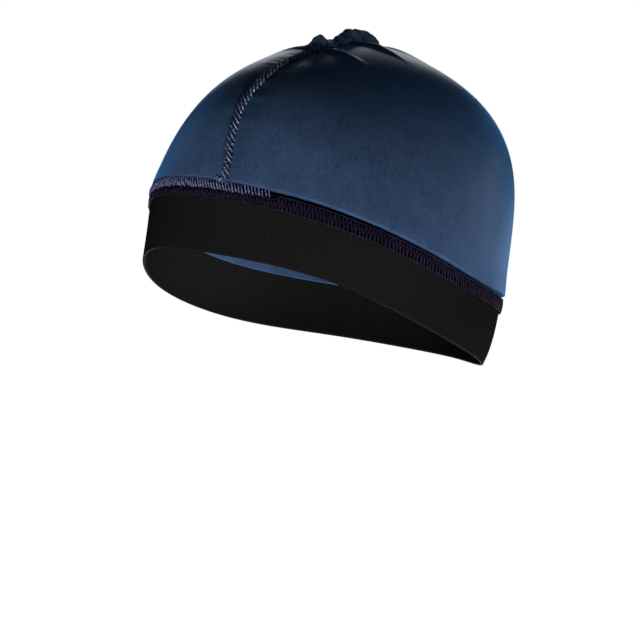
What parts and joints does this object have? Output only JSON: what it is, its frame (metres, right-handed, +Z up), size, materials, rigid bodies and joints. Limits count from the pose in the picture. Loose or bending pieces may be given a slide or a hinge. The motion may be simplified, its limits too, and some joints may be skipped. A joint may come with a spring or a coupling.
{
  "type": "wave cap",
  "caption": "Close-fitting satin dome cap in two panels, with a gathered seam over the crown and a wide elastic band.",
  "frame": {"origin": "On the axis of the head opening, at the level where the cap is widest, as the cap sits on a head", "axes": "+Z up through the crown, -Y to the front, +X to the wearer's left; the cap is alike left and right of X = 0 apart from small folds"},
  "size_m": [0.1652, 0.1889, 0.1497],
  "materials": {
    "satin_knit": "smooth navy satin stretch knit with a soft sheen",
    "overlock_thread": "navy overlock thread, slightly raised and matte",
    "woven_elastic": "matte black woven elastic with faint fine ribs",
    "band_thread": "navy and dark purple coverstitch thread"
  },
  "bodies": {
    "root": {"crown_panel_left": "satin_knit", "crown_panel_right": "satin_knit", "crown_seam": "overlock_thread", "elastic_band": "woven_elastic", "band_stitching": "band_thread"}
  },
  "joints": []
}
